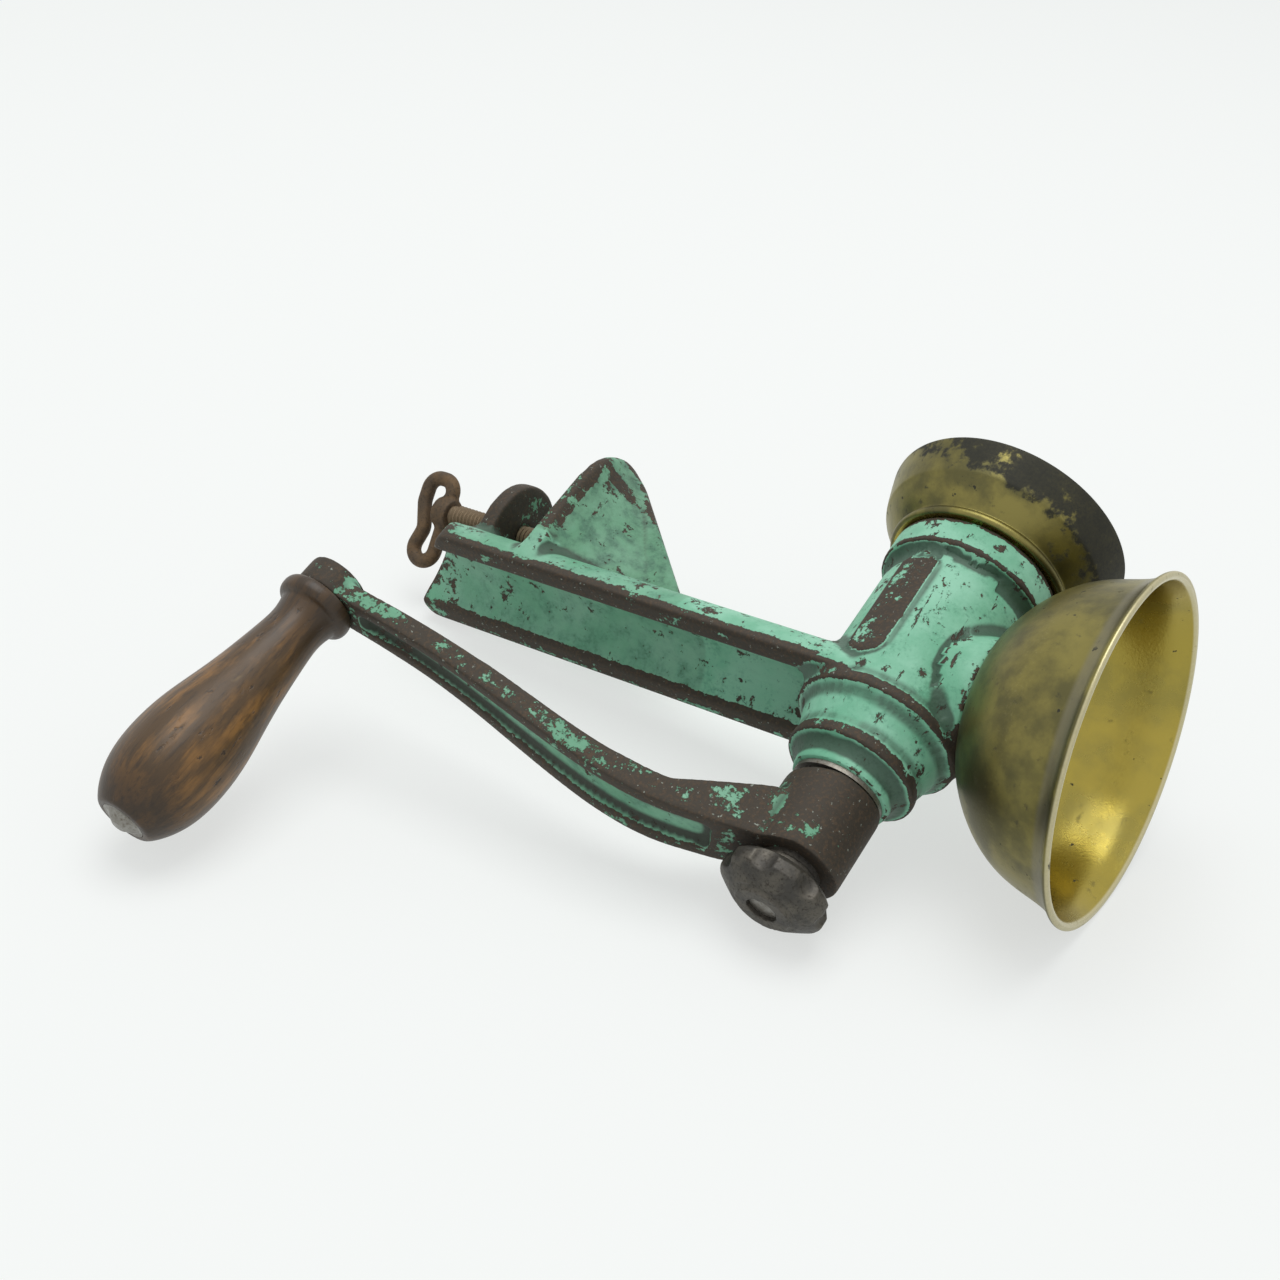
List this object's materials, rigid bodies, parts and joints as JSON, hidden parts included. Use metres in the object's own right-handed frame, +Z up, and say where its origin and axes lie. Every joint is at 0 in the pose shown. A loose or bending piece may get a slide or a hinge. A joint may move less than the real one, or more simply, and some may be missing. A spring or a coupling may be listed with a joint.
{
  "type": "poppy seed mill",
  "caption": "Hand cranked mill with a brass hopper, worm feed and burr, a cranked wooden grip and a table clamp.",
  "frame": {"origin": "where the clamp screw's axis meets the underside of the jaw, the face that lies on the table top", "axes": "+Z up along the hopper, +Y along the mill axis towards the crank, X square to both"},
  "size_m": [0.1114, 0.2188, 0.2563],
  "materials": {
    "green_paint": "worn satin",
    "brass": "tarnished",
    "iron": "worn",
    "steel": "worn",
    "rusty_steel": "rusty",
    "wood": "worn varnish"
  },
  "bodies": {
    "frame": {"body_casting": "green_paint", "hopper_bowl": "brass", "hopper_ring": "brass", "bell_mouth": "brass", "burr_ring": "iron", "shaft_bush": "brass", "thrust_washer": "steel"},
    "crank": {"crank": "green_paint", "nut_washer": "iron", "grip_pin": "steel", "grip_washer": "steel"},
    "grip": {"grip": "wood"},
    "shaft": {"worm_shaft": "steel", "grinding_cone": "iron", "cone_nut": "steel"},
    "nut": {"adjusting_nut": "iron"},
    "pad": {"swivel_pad": "rusty_steel"},
    "screw": {"clamp_screw": "rusty_steel", "thumb_loop": "rusty_steel"}
  },
  "joints": [
    {"name": "crank_turn", "type": "hinge", "parent": "frame", "child": "crank", "pos_m": [0, 0.06, 0.125], "axis": [0, -1, 0], "continuous": true},
    {"name": "grip_turn", "type": "hinge", "parent": "crank", "child": "grip", "pos_m": [0.04561, 0.1, -0.02418], "axis": [0, -1, 0], "continuous": true},
    {"name": "nut_turn", "type": "hinge", "parent": "crank", "child": "nut", "pos_m": [0, 0.084, 0.125], "axis": [0, -1, 0], "range_deg": [-542, 182]},
    {"name": "burr_adjust", "type": "slide", "parent": "crank", "child": "shaft", "axis": [0, 1, 0], "range_m": [-0.00187, 0.00063]},
    {"name": "screw_travel", "type": "slide", "parent": "frame", "child": "pad", "axis": [0, 0, 1], "range_m": [-0.0121, 0.0011]},
    {"name": "screw_turn", "type": "hinge", "parent": "pad", "child": "screw", "pos_m": [0, 0, -0.03], "axis": [0, 0, 1], "range_deg": [-2880, 240]}
  ],
  "couplings": [
    {"joint": "nut_turn", "follows": "burr_adjust", "rad_per_m": 5026.5},
    {"joint": "screw_travel", "follows": "screw_turn", "m_per_rad": 0.00023873}
  ]
}
